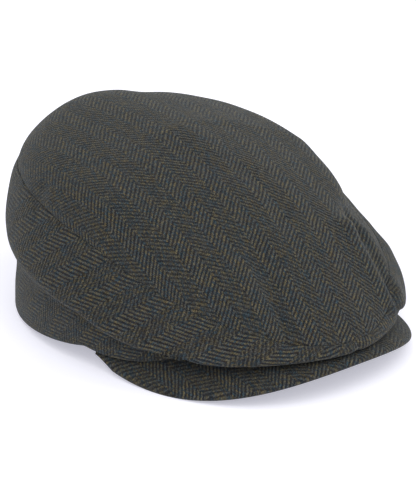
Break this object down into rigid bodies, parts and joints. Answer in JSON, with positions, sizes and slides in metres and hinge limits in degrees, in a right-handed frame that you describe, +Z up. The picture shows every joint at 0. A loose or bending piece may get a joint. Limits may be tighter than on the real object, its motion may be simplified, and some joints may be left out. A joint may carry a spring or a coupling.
{
  "type": "flat cap",
  "caption": "Soft wool flat cap in dark herringbone cloth, with a one-piece top panel, two side panels and a short arched peak. It has no printed or woven words and no label.",
  "frame": {"origin": "on the table, below the middle of the cap's own box", "axes": "+Z is up out of the crown, -Y is the front where the peak points, and +X is the wearer's left"},
  "size_m": [0.1952, 0.2478, 0.1095],
  "materials": {
    "top_cloth": "matte",
    "side_cloth": "matte",
    "peak_cloth": "matte"
  },
  "bodies": {
    "root": {"top_panel": "top_cloth", "side_panel_left": "side_cloth", "side_panel_right": "side_cloth", "peak": "peak_cloth"}
  },
  "joints": []
}
